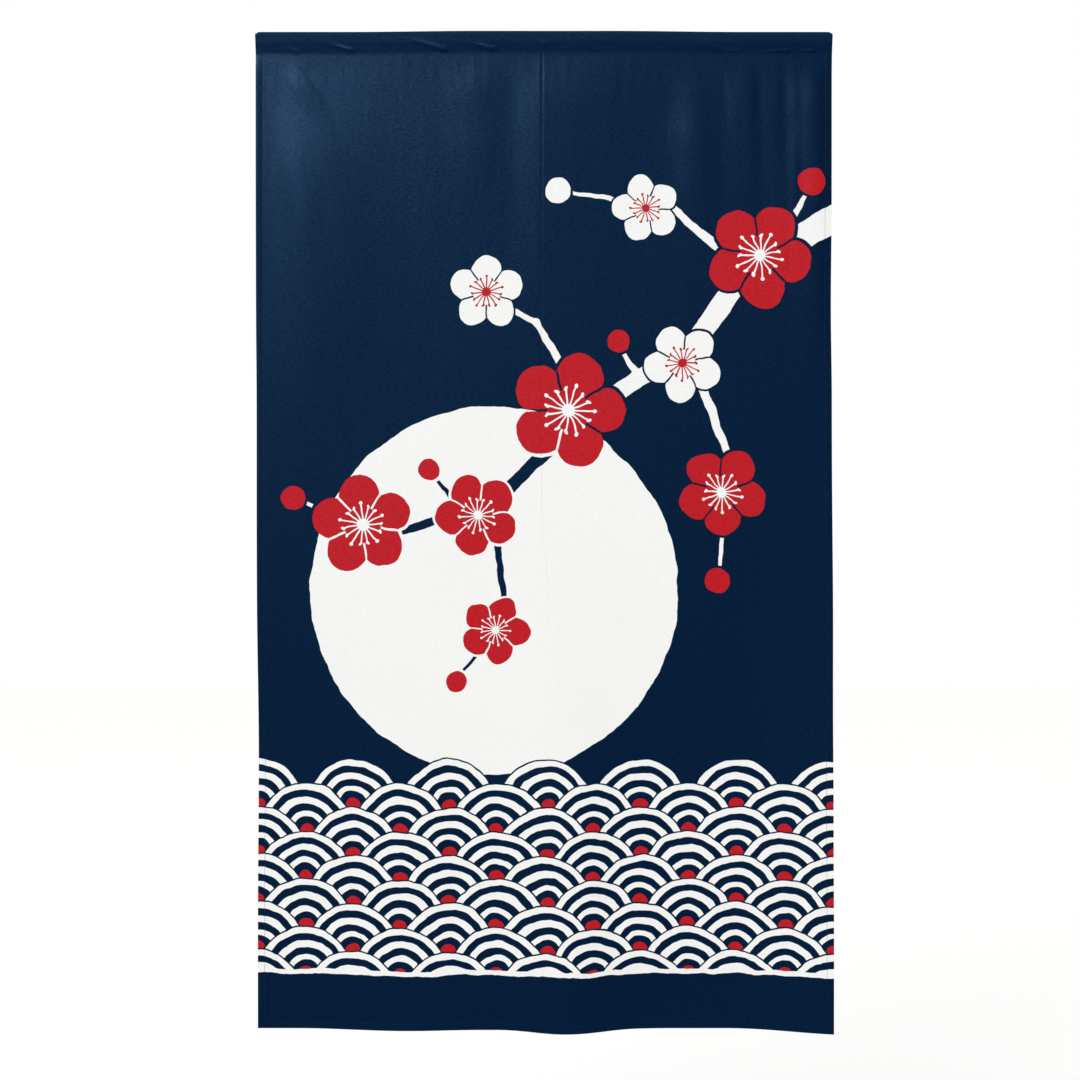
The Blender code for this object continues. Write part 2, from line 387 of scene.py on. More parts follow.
def panel_rows():
    """Distances down at which the panel has a row of points, closer together near the seam."""
    top = POCKET_TALL
    foot = DROP - HEM_COLUMNS[-1]
    body = [top + (foot - top) * (i / PANEL_ROWS) ** PANEL_CROWDING for i in range(2, PANEL_ROWS)]
    return body + [DROP - step for step in reversed(HEM_COLUMNS)]


def cut_place(rows):
    """How far down the flat cloth each point of the sleeve lies, so that it runs on into the panel's own."""
    places = [POCKET_TALL]
    for (y, down), (next_y, next_down) in zip(reversed(rows[:-1]), reversed(rows)):
        places.append(places[-1] - ((y - next_y) ** 2 + (down - next_down) ** 2) ** 0.5)
    return list(reversed(places))


def on_sleeve(at_top, y, down):
    """Where a point of the sleeve goes, and whether it is plain cloth, at 0, or all hem, at 1."""
    from_side = min(at_top - OUTLINE[0].left, OUTLINE[0].right - at_top)
    in_hem = from_side <= HEM_WIDTH
    return sleeve_point(at_top, y, down), in_hem * ease((HEM_ENDS_ABOVE - down) / HEM_FADES_ABOVE)


def on_panel(at_top, down):
    """The same for a point of the panel, whose columns follow the side edges and the crease."""
    from_side = min(at_top - OUTLINE[0].left, OUTLINE[0].right - at_top)
    in_hem = min(from_side, DROP - down) <= HEM_WIDTH
    left = between(OUTLINE, down, "left")
    right = between(OUTLINE, down, "right")
    share = (at_top - OUTLINE[0].left) / (OUTLINE[0].right - OUTLINE[0].left)
    draw = ease(1 - abs(at_top - CREASE[0].x) / CREASE_DRAWS)
    across = left + (right - left) * share + draw * (between(CREASE, down, "x") - CREASE[0].x)
    return face_point(across, down), in_hem * ease((down - HEM_STARTS_BELOW) / HEM_FADES_BELOW)


def make_cloth():
    """A grid bent over the rod and down into the folds, with its flat cut kept as a UV map in metres."""
    columns = cloth_columns()
    sleeve = sleeve_rows()
    places = cut_place(sleeve) + panel_rows()
    shape = bmesh.new()
    bmesh.ops.create_grid(shape, x_segments=len(columns) - 1, y_segments=len(places) - 1, size=0.5)
    cut = shape.loops.layers.uv.new("cut")
    weights = []
    laid = {}
    for point in shape.verts:
        at_top = columns[round((point.co.x + 0.5) * (len(columns) - 1))]
        row = round((0.5 - point.co.y) * (len(places) - 1))
        laid[point] = (at_top, -places[row])
        if row < len(sleeve):
            point.co, weight = on_sleeve(at_top, *sleeve[row])
        else:
            point.co, weight = on_panel(at_top, places[row])
        weights.append(weight)
    for face in shape.faces:
        for corner in face.loops:
            corner[cut].uv = laid[corner.vert]
    mesh = bpy.data.meshes.new("noren_cloth")
    shape.to_mesh(mesh)
    shape.free()
    mesh.materials.append(None)
    mesh.materials.append(None)
    made = bpy.data.objects.new("noren_cloth", mesh)
    bpy.context.scene.collection.objects.link(made)
    hems = made.vertex_groups.new(name="hems")
    for index, weight in enumerate(weights):
        if weight > 0:
            hems.add([index], weight, "REPLACE")
    thickness = made.modifiers.new("thickness", "SOLIDIFY")
    thickness.thickness = HEM_THICKNESS
    thickness.offset = -1
    thickness.vertex_group = hems.name
    thickness.thickness_vertex_group = CLOTH_THICKNESS / HEM_THICKNESS
    thickness.material_offset = 1
    thickness.material_offset_rim = 0
    settled = bpy.data.meshes.new_from_object(made.evaluated_get(bpy.context.evaluated_depsgraph_get()))
    made.modifiers.clear()
    made.vertex_groups.clear()
    made.data = settled
    settled.name = "noren_cloth"
    for face in settled.polygons:
        from_side = min(face.center.x - OUTLINE[0].left, OUTLINE[0].right - face.center.x)
        if min(from_side, face.center.z + DROP) < HEM_WIDTH:
            face.material_index = 0
    settled.shade_smooth()
    settled.set_sharp_from_angle(angle=radians(SHARPEST_SMOOTH))
    return made


cloth = make_cloth()

# The print on it is a plum branch before a full moon, over traditional waves. It is brushed with a slightly
# uneven edge, in off-white and red, and reads the flat cut of the cloth, so it follows each fold. Every place
# is (across, down).
MOON = (-0.075, 0.826)
MOON_RADIUS = 0.272

# The branch, from its thick end in: each stroke's two ends, and its half width at each
STROKES = (
    ((0.470, 0.250), (0.300, 0.352), 0.0200, 0.0165),
    ((0.300, 0.352), (0.215, 0.470), 0.0165, 0.0140),
    ((0.215, 0.470), (0.060, 0.560), 0.0140, 0.0115),
    ((0.060, 0.560), (-0.075, 0.700), 0.0115, 0.0085),
    ((-0.075, 0.700), (-0.235, 0.745), 0.0085, 0.0055),
    ((-0.235, 0.745), (-0.372, 0.690), 0.0055, 0.0025),
    ((0.300, 0.352), (0.190, 0.262), 0.0085, 0.0050),
    ((0.190, 0.262), (0.020, 0.235), 0.0050, 0.0022),
    ((0.060, 0.560), (-0.010, 0.430), 0.0070, 0.0045),
    ((-0.010, 0.430), (-0.120, 0.370), 0.0045, 0.0020),
    ((0.215, 0.470), (0.275, 0.640), 0.0080, 0.0050),
    ((0.275, 0.640), (0.255, 0.810), 0.0050, 0.0022),
    ((-0.075, 0.700), (-0.060, 0.860), 0.0060, 0.0035),
    ((-0.060, 0.860), (-0.130, 0.960), 0.0035, 0.0018),
    ((0.345, 0.325), (0.392, 0.225), 0.0060, 0.0026),
    ((0.140, 0.513), (0.112, 0.462), 0.0050, 0.0024),
    ((-0.120, 0.713), (-0.168, 0.652), 0.0045, 0.0020),
)

# Each blossom's middle, radius and turn, and whether it is white
BLOSSOMS = (
    ((0.318, 0.330), 0.078, 10, 0),
    ((0.150, 0.262), 0.050, 40, 1),
    ((0.205, 0.490), 0.058, 25, 1),
    ((0.035, 0.560), 0.086, 0, 0),
    ((-0.085, 0.385), 0.055, 55, 1),
    ((-0.100, 0.715), 0.062, 30, 0),
    ((0.262, 0.680), 0.066, 15, 0),
    ((-0.270, 0.728), 0.074, 48, 0),
    ((-0.075, 0.885), 0.050, 5, 0),
)

# Each bud's middle and radius, and whether it is white
BUDS = (
    ((0.020, 0.235), 0.019, 1),
    ((-0.372, 0.690), 0.018, 0),
    ((0.255, 0.812), 0.019, 0),
    ((-0.130, 0.962), 0.016, 0),
    ((0.395, 0.222), 0.020, 0),
    ((0.111, 0.458), 0.017, 0),
    ((-0.171, 0.647), 0.016, 0),
)

# A blossom's parts, in shares of its radius, and the usual radius, which its inks' edges are worked out for
PETALS = 5
PETAL_MIDDLE = 0.60
PETAL_RADIUS = 0.40
CORE_RADIUS = 0.30
HALO = 0.06
PETAL_PARTING = 0.022
PARTING_STARTS = 0.36
EYE_RADIUS = 0.115
STAMENS = 15
STAMEN_REACH = 0.40
STAMEN_SWAY = 0.05
STAMEN_HALF = 0.016
ANTHER_RADIUS = 0.036
USUAL_BLOSSOM = 0.065

# The rim of bare ground round a bud, and the length over which the branch's strokes melt together at a fork
BUD_HALO = 0.004
FORK_BLEND = 0.006

# The waves: where their rows are counted from and the first of them that shows, the line that ends them above
# the hem, the radius of each, and its rings and dot in shares of that: each ring's middle and half width
SEA_TOP = 1.075
FIRST_ROW = 2
SEA_FOOT = 1.3915
SHORE_HALF = 0.0035
WAVE_RADIUS = 0.071
WAVE_LINES = ((0.905, 0.062), (0.63, 0.07), (0.355, 0.055))
WAVE_DOT = 0.16

# How the ink's edge wanders, as each cloud's waves a metre, its strength and its shift, and how wide it is
EDGE_WANDERS = ((70.0, 0.0032, (0.0, 0.0, 2.0)), (20.0, 0.0088, (3.0, 7.0, 5.0)))
INK_EDGE = 0.0005

# What a search for the nearest form starts from: a place further off than any form, or well outside them all
FAR = 9.0
OUTSIDE = -1.0

MATH = "ShaderNodeMath"
VECTOR = "ShaderNodeVectorMath"
MIX = "ShaderNodeMix"


def put(tree, kind, *values, **settings):
    """Add a node with its settings, link or set its sockets in their order, and give its first output."""
    node = tree.nodes.new(kind)
    for name, setting in settings.items():
        setattr(node, name, setting)
    sockets = [socket for socket in node.inputs if socket.enabled]
    for socket, value in zip(sockets, values):
        if isinstance(value, bpy.types.NodeSocket):
            tree.links.new(value, socket)
        elif value is not None:
            socket.default_value = value
    return next((socket for socket in node.outputs if socket.enabled), node)


printed = bpy.data.node_groups.new("plum, moon and waves", "ShaderNodeTree")
printed.interface.new_socket("Cut", in_out="INPUT", socket_type="NodeSocketVector")
printed.interface.new_socket("Off-white", in_out="OUTPUT", socket_type="NodeSocketFloat")
printed.interface.new_socket("Red", in_out="OUTPUT", socket_type="NodeSocketFloat")
cut_in = put(printed, "NodeGroupInput")
place = put(printed, VECTOR, cut_in, (1, -1, 0), operation="MULTIPLY")
wandered = place
for scale, wanders, shift in EDGE_WANDERS:
    moved = put(printed, VECTOR, place, shift, operation="ADD")
    cloud = put(printed, "ShaderNodeTexNoise", moved, scale, 1.0).node.outputs["Color"]
    centred = put(printed, VECTOR, cloud, (0.5, 0.5, 0.5), operation="SUBTRACT")
    step = put(printed, VECTOR, centred, wanders, operation="SCALE")
    wandered = put(printed, VECTOR, wandered, step, operation="ADD")
at = put(printed, VECTOR, wandered, (1, 1, 0), operation="MULTIPLY")
at_parts = put(printed, "ShaderNodeSeparateXYZ", at).node.outputs

# Each form below is how far inside it a point lies. An ink's mask is that over the width of the ink's edge.
from_moon = put(printed, VECTOR, at, (*MOON, 0), operation="DISTANCE")
in_moon = put(printed, MATH, MOON_RADIUS, from_moon, operation="SUBTRACT")
moon = put(printed, MATH, in_moon, 1 / INK_EDGE, 0.5, operation="MULTIPLY_ADD", use_clamp=True)

in_branch = OUTSIDE
for start, end, start_half, end_half in STROKES:
    run = Vector((end[0] - start[0], end[1] - start[1], 0))
    from_start = put(printed, VECTOR, at, (*start, 0), operation="SUBTRACT")
    along = put(printed, VECTOR, from_start, run / run.length_squared, operation="DOT_PRODUCT")
    along = put(printed, MATH, along, 1.0, operation="MULTIPLY", use_clamp=True)
    on_run = put(printed, VECTOR, run, along, operation="SCALE")
    aside = put(printed, VECTOR, from_start, on_run, operation="DISTANCE")
    half = put(printed, MATH, along, end_half - start_half, start_half, operation="MULTIPLY_ADD")
    inside = put(printed, MATH, half, aside, operation="SUBTRACT")
    in_branch = put(printed, MATH, in_branch, inside, FORK_BLEND, operation="SMOOTH_MAX")
branch = put(printed, MATH, in_branch, 1 / INK_EDGE, 0.5, operation="MULTIPLY_ADD", use_clamp=True)

in_bud = OUTSIDE
white_bud = 0.0
for middle, radius, is_white in BUDS:
    away = put(printed, VECTOR, at, (*middle, 0), operation="DISTANCE")
    inside = put(printed, MATH, radius, away, operation="SUBTRACT")
    nearer = put(printed, MATH, inside, in_bud, operation="GREATER_THAN")
    white_bud = put(printed, MIX, nearer, white_bud, float(is_white), data_type="FLOAT")
    in_bud = put(printed, MATH, in_bud, inside, operation="MAXIMUM")
bud = put(printed, MATH, in_bud, 1 / INK_EDGE, 0.5, operation="MULTIPLY_ADD", use_clamp=True)
halo_edge = 0.5 + BUD_HALO / INK_EDGE
bud_halo = put(printed, MATH, in_bud, 1 / INK_EDGE, halo_edge, operation="MULTIPLY_ADD", use_clamp=True)

# The blossom nearest to a point, in its own radii: the way from its middle, how far that is, and the turn and
# the kind of that blossom
nearest = FAR
from_middle = (0, 0, 0)
turn_and_kind = (0, 0, 0)
for middle, radius, turn, is_white in BLOSSOMS:
    way = put(printed, VECTOR, at, (*middle, 0), operation="SUBTRACT")
    way = put(printed, VECTOR, way, 1 / radius, operation="SCALE")
    away = put(printed, VECTOR, way, operation="LENGTH")
    nearer = put(printed, MATH, away, nearest, operation="LESS_THAN")
    nearest = put(printed, MATH, away, nearest, operation="MINIMUM")
    from_middle = put(printed, MIX, nearer, from_middle, way, data_type="VECTOR")
    this_one = (radians(turn), float(is_white), 0)
    turn_and_kind = put(printed, MIX, nearer, turn_and_kind, this_one, data_type="VECTOR")
way_parts = put(printed, "ShaderNodeSeparateXYZ", from_middle).node.outputs
kind_parts = put(printed, "ShaderNodeSeparateXYZ", turn_and_kind).node.outputs
white_kind = kind_parts["Y"]
bearing = put(printed, MATH, way_parts["Y"], way_parts["X"], operation="ARCTAN2")
bearing = put(printed, MATH, bearing, kind_parts["X"], operation="SUBTRACT")

# Petals round a core, parted by thin lines
off_petal = put(printed, MATH, bearing, pi / PETALS, operation="PINGPONG")
cosine = put(printed, MATH, off_petal, operation="COSINE")
sine = put(printed, MATH, off_petal, operation="SINE")
forward = put(printed, MATH, nearest, cosine, operation="MULTIPLY")
sideways = put(printed, MATH, nearest, sine, operation="MULTIPLY")
on_petal = put(printed, "ShaderNodeCombineXYZ", forward, sideways)
from_petal = put(printed, VECTOR, on_petal, (PETAL_MIDDLE, 0, 0), operation="DISTANCE")
in_petal = put(printed, MATH, PETAL_RADIUS, from_petal, operation="SUBTRACT")
in_core = put(printed, MATH, CORE_RADIUS, nearest, operation="SUBTRACT")
in_blossom = put(printed, MATH, in_petal, in_core, operation="MAXIMUM")
petal_edge = INK_EDGE / USUAL_BLOSSOM
blossom = put(printed, MATH, in_blossom, 1 / petal_edge, 0.5, operation="MULTIPLY_ADD", use_clamp=True)
halo_edge = 0.5 + HALO / petal_edge
halo = put(printed, MATH, in_blossom, 1 / petal_edge, halo_edge, operation="MULTIPLY_ADD", use_clamp=True)
to_parting = put(printed, MATH, pi / PETALS, off_petal, operation="SUBTRACT")
to_parting = put(printed, MATH, to_parting, operation="SINE")
to_parting = put(printed, MATH, nearest, to_parting, operation="MULTIPLY")
in_parting = put(printed, MATH, PETAL_PARTING, to_parting, operation="SUBTRACT")
past_core = put(printed, MATH, nearest, PARTING_STARTS, operation="SUBTRACT")
in_parting = put(printed, MATH, in_parting, past_core, operation="MINIMUM")
parting = put(printed, MATH, in_parting, 1 / petal_edge, 0.5, operation="MULTIPLY_ADD", use_clamp=True)
parting = put(printed, MATH, parting, blossom, operation="MULTIPLY")

# An eye, and stamens tipped with anthers
off_stamen = put(printed, MATH, bearing, pi / STAMENS, operation="PINGPONG")
cosine = put(printed, MATH, off_stamen, operation="COSINE")
sine = put(printed, MATH, off_stamen, operation="SINE")
forward = put(printed, MATH, nearest, cosine, operation="MULTIPLY")
sideways = put(printed, MATH, nearest, sine, operation="MULTIPLY")
sway = put(printed, MATH, bearing, float(PETALS), operation="MULTIPLY")
sway = put(printed, MATH, sway, operation="COSINE")
reach = put(printed, MATH, sway, STAMEN_SWAY, STAMEN_REACH, operation="MULTIPLY_ADD")
on_stamen = put(printed, "ShaderNodeCombineXYZ", forward, sideways)
anther_middle = put(printed, "ShaderNodeCombineXYZ", reach)
from_anther = put(printed, VECTOR, on_stamen, anther_middle, operation="DISTANCE")
in_anther = put(printed, MATH, ANTHER_RADIUS, from_anther, operation="SUBTRACT")
in_stamen = put(printed, MATH, STAMEN_HALF, sideways, operation="SUBTRACT")
short_of_tip = put(printed, MATH, reach, nearest, operation="SUBTRACT")
in_stamen = put(printed, MATH, in_stamen, short_of_tip, operation="MINIMUM")
in_eye = put(printed, MATH, EYE_RADIUS, nearest, operation="SUBTRACT")
in_heart = put(printed, MATH, in_stamen, in_anther, operation="MAXIMUM")
in_heart = put(printed, MATH, in_heart, in_eye, operation="MAXIMUM")
heart = put(printed, MATH, in_heart, 1 / petal_edge, 0.5, operation="MULTIPLY_ADD", use_clamp=True)
heart = put(printed, MATH, heart, blossom, operation="MULTIPLY")

# The waves lie in rows half a radius apart, each row before the one above it: three can cover a point, and
# the lowest of those that reach it shows
row_of = put(printed, MATH, at_parts["Y"], SEA_TOP, operation="SUBTRACT")
row_of = put(printed, MATH, row_of, 2 / WAVE_RADIUS, operation="MULTIPLY")
row_of = put(printed, MATH, row_of, operation="FLOOR")
from_crest = FAR
for below in (0, 1, 2):
    row = put(printed, MATH, row_of, float(below), operation="ADD")
    row_down = put(printed, MATH, row, WAVE_RADIUS / 2, SEA_TOP, operation="MULTIPLY_ADD")
    is_odd = put(printed, MATH, row, 2.0, operation="FLOORED_MODULO")
    shifted = put(printed, MATH, is_odd, WAVE_RADIUS, at_parts["X"], operation="MULTIPLY_ADD")
    aside = put(printed, MATH, shifted, WAVE_RADIUS, operation="PINGPONG")
    drop = put(printed, MATH, at_parts["Y"], row_down, operation="SUBTRACT")
    way = put(printed, "ShaderNodeCombineXYZ", aside, drop)
    away = put(printed, VECTOR, way, operation="LENGTH")
    away = put(printed, MATH, away, 1 / WAVE_RADIUS, operation="MULTIPLY")
    reached = put(printed, MATH, away, 1.0, operation="LESS_THAN")
    is_sea = put(printed, MATH, row, FIRST_ROW - 0.5, operation="GREATER_THAN")
    shows = put(printed, MATH, reached, is_sea, operation="MULTIPLY")
    from_crest = put(printed, MIX, shows, from_crest, away, data_type="FLOAT")
sea = put(printed, MATH, from_crest, 1.0, operation="LESS_THAN")
above_hem = put(printed, MATH, at_parts["Y"], SEA_FOOT, operation="LESS_THAN")
sea = put(printed, MATH, sea, above_hem, operation="MULTIPLY")
wave_edge = INK_EDGE / WAVE_RADIUS
in_lines = OUTSIDE
for line_middle, line_half in WAVE_LINES:
    off_line = put(printed, MATH, from_crest, line_middle, operation="SUBTRACT")
    off_line = put(printed, MATH, off_line, operation="ABSOLUTE")
    in_line = put(printed, MATH, line_half, off_line, operation="SUBTRACT")
    in_lines = put(printed, MATH, in_lines, in_line, operation="MAXIMUM")
lines = put(printed, MATH, in_lines, 1 / wave_edge, 0.5, operation="MULTIPLY_ADD", use_clamp=True)
off_shore = put(printed, MATH, at_parts["Y"], SEA_FOOT, operation="SUBTRACT")
off_shore = put(printed, MATH, off_shore, operation="ABSOLUTE")
in_shore = put(printed, MATH, SHORE_HALF, off_shore, operation="SUBTRACT")
shore = put(printed, MATH, in_shore, 1 / INK_EDGE, 0.5, operation="MULTIPLY_ADD", use_clamp=True)
in_dot = put(printed, MATH, WAVE_DOT, from_crest, operation="SUBTRACT")
dot = put(printed, MATH, in_dot, 1 / wave_edge, 0.5, operation="MULTIPLY_ADD", use_clamp=True)

# The inks are laid one over the other, as (off-white, red). The branch is off-white on the navy and navy on
# the moon, and a rim of the ground is left round each blossom and bud.
ground = put(printed, "ShaderNodeCombineXYZ", moon)
not_moon = put(printed, MATH, 1.0, moon, operation="SUBTRACT")
red_kind = put(printed, MATH, 1.0, white_kind, operation="SUBTRACT")
red_bud = put(printed, MATH, 1.0, white_bud, operation="SUBTRACT")
moon_by_red = put(printed, MATH, moon, red_kind, operation="MULTIPLY")
counter = put(printed, "ShaderNodeCombineXYZ", not_moon)
bud_ink = put(printed, "ShaderNodeCombineXYZ", white_bud, red_bud)
petal_ink = put(printed, "ShaderNodeCombineXYZ", white_kind, red_kind)
parting_ink = put(printed, "ShaderNodeCombineXYZ", moon_by_red)
heart_ink = put(printed, "ShaderNodeCombineXYZ", red_kind, white_kind)
sea_ink = put(printed, "ShaderNodeCombineXYZ", lines, dot)
inks = ground
for mask, ink in (
    (branch, counter),
    (bud_halo, ground),
    (bud, bud_ink),
    (halo, ground),
    (blossom, petal_ink),
    (parting, parting_ink),
    (heart, heart_ink),
    (sea, sea_ink),
    (shore, (1, 0, 0)),
):
    inks = put(printed, MIX, mask, inks, ink, data_type="VECTOR")
ink_parts = put(printed, "ShaderNodeSeparateXYZ", inks).node.outputs
put(printed, "NodeGroupOutput", ink_parts["X"], ink_parts["Y"])

# Polyester plain weave, piece-dyed navy and screen-printed. It is matt to the eye, with a cool sheen where a
# fold leans to the light. Slubs in both yarns, slack warp streaks and a fuzz break that sheen up. The real
# yarns lie about 0.5 mm apart, and are drawn 1.6 mm apart so that they show.
YARN = 0.0016
SLUB_THICK = 0.0028
SLUB_LONG = 0.0065
STREAK_WIDE = 0.012
STREAK_LONG = 0.060
FUZZ = 0.0028
BROAD_CLOUD = 1 / 6
WARP_SHARE = 0.5
SLUB_MEAN = 0.75
WEAVE_RELIEF = 0.00006
SLUB_RELIEF = 0.00015
STREAK_RELIEF = 0.00036
SLUB_SHADE = 0.09
BROAD_SHADE = 0.05
WEAVE_SHADE = 0.03
CLOTH_ROUGHNESS = 0.44
FUZZ_ROUGHNESS = 0.25
CLOTH_SPECULAR = 0.18
SPECKLE = 1.8
CLOTH_SHEEN = "#82c7ff"
NAVY_DYE = "#001837"
OFF_WHITE = "#ebebe8"
RED_INK = "#b71110"

# The sheen is rubbed off along the fold at the top, and pressed out of the crease, whose line is also
# darkened with painted shade of its groove. The crease's mark shows strongly near the seam and faintly below:
# each row gives where it ends, over what length it fades out before that, and how strong it is.
FOLD_PLACE = 0.0042
FOLD_RUBBED = 0.0220
CREASE_PRESSED = 0.0012
CREASE_PAINTED_SHADE = 0.45
CREASE_SHOWS = ((0.367, 0.333, 1.0), (1.000, 0.625, 0.35))
MATT_ROUGHER = 0.45

# The dye and the inks strike through to the back a little paler, so the print is seen there mirrored. The
# sleeve and the turned hems show the cloth's face there too.
BACK_NAVY = "#1b304b"
BACK_WHITE = "#c6ccd3"
BACK_RED = "#a3474d"


def colour(hexadecimal):
    """An sRGB hex colour as linear RGBA."""
    parts = [int(hexadecimal[i : i + 2], 16) / 255 for i in (1, 3, 5)]
    return (*(part / 12.92 if part <= 0.04045 else ((part + 0.055) / 1.055) ** 2.4 for part in parts), 1)


def weave(name, navy, white, red):
    """The cloth's material for one of its sides."""
    made = bpy.data.materials.new(name)
    made.use_nodes = True
    tree = made.node_tree
    shader = tree.nodes["Principled BSDF"]
    cut = put(tree, "ShaderNodeUVMap", uv_map="cut")
    masks = put(tree, "ShaderNodeGroup", cut, node_tree=printed).node.outputs
    tinted = put(tree, MIX, masks["Off-white"], colour(navy), colour(white), data_type="RGBA")
    tinted = put(tree, MIX, masks["Red"], tinted, colour(red), data_type="RGBA")

    weft_at = put(tree, VECTOR, cut, (1 / SLUB_LONG, 1 / SLUB_THICK, 0), operation="MULTIPLY")
    warp_at = put(tree, VECTOR, cut, (1 / SLUB_THICK, 1 / SLUB_LONG, 0), operation="MULTIPLY")
    streak_at = put(tree, VECTOR, cut, (1 / STREAK_WIDE, 1 / STREAK_LONG, 0), operation="MULTIPLY")
    weft = put(tree, "ShaderNodeTexNoise", weft_at, 1.0, 1.0)
    warp = put(tree, "ShaderNodeTexNoise", warp_at, 1.0, 1.0)
    streaks = put(tree, "ShaderNodeTexNoise", streak_at, 1.0, 2.0)
    fuzz = put(tree, "ShaderNodeTexNoise", cut, 1 / FUZZ, 1.0)
    slubs = put(tree, MATH, warp, WARP_SHARE, weft, operation="MULTIPLY_ADD")
    slubs = put(tree, MATH, slubs, SLUB_MEAN, operation="SUBTRACT")

    yarns = put(tree, VECTOR, cut, pi / YARN, operation="SCALE")
    yarn_parts = put(tree, "ShaderNodeSeparateXYZ", yarns).node.outputs
    over = put(tree, MATH, yarn_parts["X"], operation="SINE")
    under = put(tree, MATH, yarn_parts["Y"], operation="SINE")
    crossing = put(tree, MATH, over, under, operation="MULTIPLY")
    uneven = put(tree, MATH, fuzz, 2.0, operation="MULTIPLY")
    crossing = put(tree, MATH, crossing, uneven, operation="MULTIPLY")

    cut_parts = put(tree, "ShaderNodeSeparateXYZ", cut).node.outputs
    from_fold = put(tree, MATH, cut_parts["Y"], FOLD_PLACE, operation="SUBTRACT")
    from_fold = put(tree, MATH, from_fold, operation="ABSOLUTE")
    rubbed = put(tree, MATH, from_fold, -2 / FOLD_RUBBED, 2.0, operation="MULTIPLY_ADD", use_clamp=True)
    # The crease's line: made matt, and darkened in the base colour as painted shade of its groove
    from_crease = put(tree, MATH, cut_parts["X"], CREASE[0].x, operation="SUBTRACT")
    from_crease = put(tree, MATH, from_crease, operation="ABSOLUTE")
    crease_matt_and_painted_shade = put(tree, MATH, from_crease, -2 / CREASE_PRESSED, 2.0, operation="MULTIPLY_ADD", use_clamp=True)
    still_shows = 0.0
    for ends, fades, strength in CREASE_SHOWS:
        at_top = ends / fades
        shows = put(tree, MATH, cut_parts["Y"], 1 / fades, at_top, operation="MULTIPLY_ADD", use_clamp=True)
        shows = put(tree, MATH, shows, strength, operation="MULTIPLY")
        still_shows = put(tree, MATH, still_shows, shows, operation="MAXIMUM")
    below_seam = put(tree, MATH, cut_parts["Y"], -POCKET_TALL, operation="LESS_THAN")
    crease_matt_and_painted_shade = put(tree, MATH, crease_matt_and_painted_shade, still_shows, operation="MULTIPLY")
    crease_matt_and_painted_shade = put(tree, MATH, crease_matt_and_painted_shade, below_seam, operation="MULTIPLY")

    broad = put(tree, "ShaderNodeTexNoise", cut, 1 / BROAD_CLOUD, 3.0)
    broad = put(tree, MATH, broad, 0.5, operation="SUBTRACT")
    shade = put(tree, MATH, slubs, SLUB_SHADE, 1.0, operation="MULTIPLY_ADD")
    shade = put(tree, MATH, broad, BROAD_SHADE, shade, operation="MULTIPLY_ADD")
    shade = put(tree, MATH, crossing, WEAVE_SHADE, shade, operation="MULTIPLY_ADD")
    # Painted shade: the base colour is darkened along the crease's line
    shade = put(tree, MATH, crease_matt_and_painted_shade, -CREASE_PAINTED_SHADE, shade, operation="MULTIPLY_ADD")
    shaded = put(tree, VECTOR, tinted, shade, operation="SCALE")
    tree.links.new(shaded, shader.inputs["Base Color"])

    relief = put(tree, MATH, slubs, SLUB_RELIEF / WEAVE_RELIEF, crossing, operation="MULTIPLY_ADD")
    relief = put(tree, MATH, streaks, STREAK_RELIEF / WEAVE_RELIEF, relief, operation="MULTIPLY_ADD")
    bump = put(tree, "ShaderNodeBump", 1.0, WEAVE_RELIEF, None, relief)
    tree.links.new(bump, shader.inputs["Normal"])
    matt = put(tree, MATH, rubbed, crease_matt_and_painted_shade, operation="MAXIMUM")
    roughness = put(tree, MATH, fuzz, 0.5, operation="SUBTRACT")
    roughness = put(tree, MATH, roughness, FUZZ_ROUGHNESS, CLOTH_ROUGHNESS, operation="MULTIPLY_ADD")
    roughness = put(tree, MATH, matt, MATT_ROUGHER, roughness, operation="MULTIPLY_ADD", use_clamp=True)
    tree.links.new(roughness, shader.inputs["Roughness"])
    gloss = put(tree, MATH, slubs, SPECKLE, 1.0, operation="MULTIPLY_ADD")
    gloss = put(tree, MATH, gloss, CLOTH_SPECULAR, operation="MULTIPLY", use_clamp=True)
    tree.links.new(gloss, shader.inputs["Specular IOR Level"])
    shader.inputs["Specular Tint"].default_value = colour(CLOTH_SHEEN)
    return made


cloth.data.materials[0] = weave("printed_polyester_face", NAVY_DYE, OFF_WHITE, RED_INK)
cloth.data.materials[1] = weave("printed_polyester_back", BACK_NAVY, BACK_WHITE, BACK_RED)
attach(cloth, "root")
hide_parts("panel", "rod_pocket")


# The stitches: a lockstitch in spun polyester thread, which closes the sleeve and holds the three hems. It
# shows on both sides of the cloth as short strands, each pulled into the weave at its two ends.
STITCH_PITCH = 0.0030
STITCH_LENGTH = 0.0025
STITCH_HALF = 0.00030
STITCH_FLATTENED = 0.8
SEAM_INSET = 0.001
SIDES_START = 0.004

strand = bmesh.new()
bmesh.ops.create_uvsphere(strand, u_segments=6, v_segments=4, radius=1.0)
for point in strand.verts:
    point.co.x *= STITCH_HALF
    point.co.y *= STITCH_HALF * STITCH_FLATTENED
    point.co.z *= STITCH_LENGTH / 2
strand_mesh = bpy.data.meshes.new("strand")
strand.to_mesh(strand_mesh)
strand.free()

# Spun polyester is duller than the cloth's yarns, and its twist shows as slanting bands, about 0.7 mm apart
THREAD_DYE = "#142a4a"
THREAD_SHADOW = "#0d203c"
THREAD_ROUGHNESS = 0.55
THREAD_SPECULAR = 0.3
TWIST_SCALE = 900.0
TWIST_WAVER = 1.5
TWIST_STRENGTH = 0.6
TWIST_RELIEF = 0.00005

